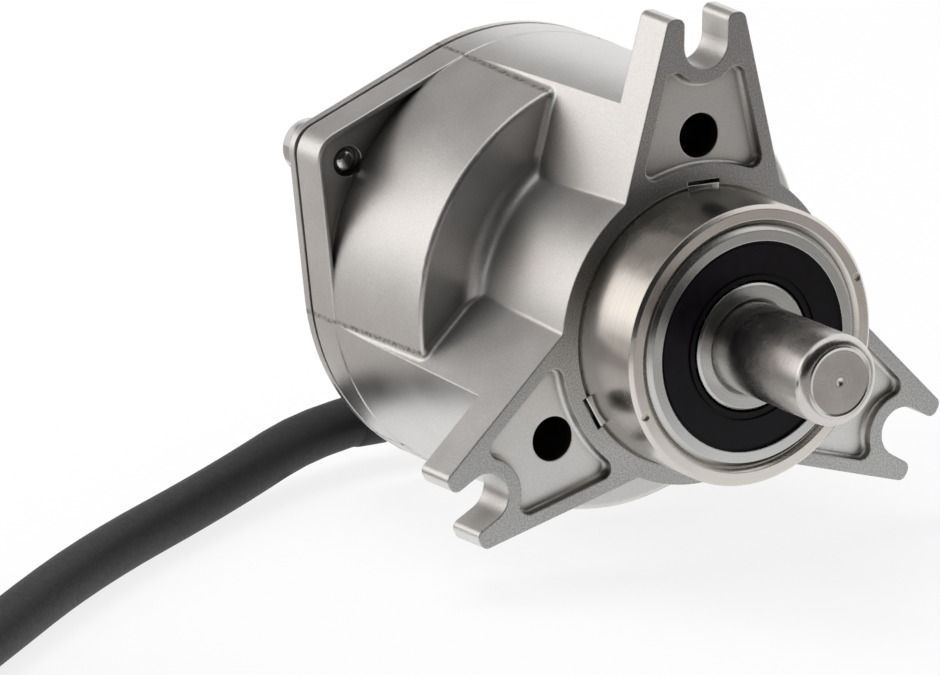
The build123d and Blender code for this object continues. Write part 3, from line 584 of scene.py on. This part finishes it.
# Which nodes have which finish.
finishNodes = {
    "cast": ["housing"],
    "castCover": ["rear_cover"],
    "sleeve": ["bearing_sleeve", "preload_ring", "inner_spacer", "snap_ring", "disc_hub",
               "disc_clamp_ring"],
    "rings": ["sleeve_keys",
              "front_bearing_outer_ring", "front_bearing_inner_ring", "front_bearing_balls",
              "rear_bearing_outer_ring", "rear_bearing_inner_ring", "rear_bearing_balls"],
    "shaft": ["shaft"],
    "zinc": ["hub_screw", "board_screws", "cover_screws"],
    "nickel": ["gland_body", "gland_nut", "plug_ring"],
    "brass": ["plug_pins"],
    "seal": ["front_bearing_seals", "rear_bearing_seals"],
    "jacket": ["cable", "cable_coil", "cable_tail"],
    "gasket": ["cover_gasket", "gland_seal"],
    "plastic": ["light_source", "reading_head", "board_chip", "board_header", "lead_plug",
                "plug_body", "plug_insert"],
    "board": ["scanner_board"],
    "disc": ["code_disc"],
    "grey": ["inner_leads"],
    "cage": ["front_bearing_cage", "rear_bearing_cage"],
}

for finishName, nodeNames in finishNodes.items():
    for nodeName in nodeNames:
        surface = nodes[nodeName].data
        surface.materials.clear()
        surface.materials.append(finishes[finishName])
for piece, finishName in ((leadPiece, "jacket"), (sleevePiece, "jacket"),
                          (screwPiece, "zinc"), (keyPiece, "rings")):
    piece.data.materials.append(finishes[finishName])
print("finishes set on", sum(len(nodeNames) for nodeNames in finishNodes.values()), "nodes")


# Table, backdrop, lamps, and the flags that only the shiny surfaces see.
studio = {
    "tableHeight": -0.0311,
    "tableSize": 8.0,
    "tablePaper": (0.9, 0.9, 0.9),
    "tableWhite": 0.82,  # share of plain white that the camera sees on the table
    "ambient": 0.55,
    "lamps": [
        # name, place, aim, width, height, power
        ("topSoftbox", (-0.10, 0.50, 1.05), (0.0, 0.02, 0.0), 0.7, 0.6, 6.0),
        ("leftSoftbox", (-1.10, 0.50, 0.50), (0.0, 0.02, 0.0), 0.5, 0.9, 8.0),
    ],
    "flagTint": (1.0, 0.95, 0.92),
    "flags": [
        # name, place, aim, width, height, tone
        ("frontFlag", (0.10, -1.25, 0.45), (0.0, 0.0, 0.10), 3.0, 1.2, 0.02),
        ("leftFrontFlag", (-1.15, -0.60, 0.40), (0.0, 0.0, 0.10), 1.2, 1.2, 0.02),
        ("highFrontFlag", (-0.20, -0.80, 1.00), (0.0, 0.0, 0.0), 2.0, 1.0, 0.03),
        ("leftFlag", (-1.05, -0.05, 0.80), (0.0, 0.0, 0.0), 0.9, 0.9, 0.10),
        ("leftReflector", (-1.00, 0.85, 0.42), (0.0, 0.0, 0.0), 0.75, 0.70, 1.58),
        ("frontCloth", (0.25, -0.55, -0.0300), (0.25, -0.55, 0.5), 1.4, 0.95, 0.42),
        ("rearFlag", (-0.05, 1.15, 0.95), (0.0, 0.0, 0.0), 1.4, 0.9, 0.24),
        ("rearCloth", (-0.20, 0.26, -0.0300), (-0.20, 0.26, 0.5), 0.34, 0.42, 0.52),
    ],
}


def aimed(name, data, place, aim):
    piece = bpy.data.objects.new(name, data)
    scene.collection.objects.link(piece)
    facing = (Vector(aim) - Vector(place)).to_track_quat("-Z", "Y")
    piece.matrix_world = Matrix.Translation(place) @ facing.to_matrix().to_4x4()
    return piece


def sheet(name, width, height, material):
    bm = bmesh.new()
    bmesh.ops.create_grid(bm, x_segments=1, y_segments=1, size=0.5)
    bmesh.ops.scale(bm, verts=bm.verts, vec=(width, height, 1.0))
    mesh = bpy.data.meshes.new(name)
    bm.to_mesh(mesh)
    bm.free()
    mesh.materials.append(material)
    return mesh


def glowing(tree, colour, strength):
    glow = tree.nodes.new("ShaderNodeEmission")
    glow.inputs["Color"].default_value = (*colour, 1.0)
    glow.inputs["Strength"].default_value = strength
    return glow.outputs["Emission"]


def emptyMaterial(name):
    material = bpy.data.materials.new(name)
    material.use_nodes = True
    tree = material.node_tree
    tree.nodes.remove(tree.nodes["Principled BSDF"])
    return material, tree, tree.nodes["Material Output"].inputs["Surface"]


def raysThatSeeWhite(tree):
    path = tree.nodes.new("ShaderNodeLightPath")
    seen = combine(tree, "MAXIMUM", path.outputs["Is Camera Ray"], path.outputs["Is Transmission Ray"])
    return combine(tree, "MAXIMUM", seen, path.outputs["Is Glossy Ray"])


def buildTable():
    material, tree, surface = emptyMaterial("tableWhite")
    paper = tree.nodes.new("ShaderNodeBsdfDiffuse")
    paper.inputs["Color"].default_value = (*studio["tablePaper"], 1.0)
    mix = tree.nodes.new("ShaderNodeMixShader")
    whiteShare = combine(tree, "MULTIPLY", raysThatSeeWhite(tree), studio["tableWhite"])
    tree.links.new(whiteShare, mix.inputs["Fac"])
    tree.links.new(paper.outputs["BSDF"], mix.inputs[1])
    tree.links.new(glowing(tree, (1.0, 1.0, 1.0), 1.0), mix.inputs[2])
    tree.links.new(mix.outputs["Shader"], surface)
    mesh = sheet("table", studio["tableSize"], studio["tableSize"], material)
    mesh.transform(Matrix.Translation((0.0, 0.0, studio["tableHeight"])))
    table = bpy.data.objects.new("table", mesh)
    scene.collection.objects.link(table)


def buildWorld():
    world = bpy.data.worlds.new("studio")
    world.use_nodes = True
    tree = world.node_tree
    glow = tree.nodes["Background"]
    glow.inputs["Color"].default_value = (1.0, 1.0, 1.0, 1.0)
    strength = spread(tree, raysThatSeeWhite(tree), 0.0, 1.0, studio["ambient"], 1.0)
    tree.links.new(strength, glow.inputs["Strength"])
    scene.world = world


def buildLamps():
    for name, place, aim, width, height, power in studio["lamps"]:
        lamp = bpy.data.lights.new(name, "AREA")
        lamp.shape = "RECTANGLE"
        lamp.size = width
        lamp.size_y = height
        lamp.energy = power
        aimed(name, lamp, place, aim).visible_glossy = False


def buildFlags():
    for name, place, aim, width, height, tone in studio["flags"]:
        cloth, tree, surface = emptyMaterial(name)
        tree.links.new(glowing(tree, studio["flagTint"], tone), surface)
        flag = aimed(name, sheet(name, width, height, cloth), place, aim)
        flag.visible_camera = False
        flag.visible_diffuse = False
        flag.visible_shadow = False


buildTable()
buildWorld()
buildLamps()
buildFlags()
scene.view_settings.view_transform = "Standard"
print("studio built")
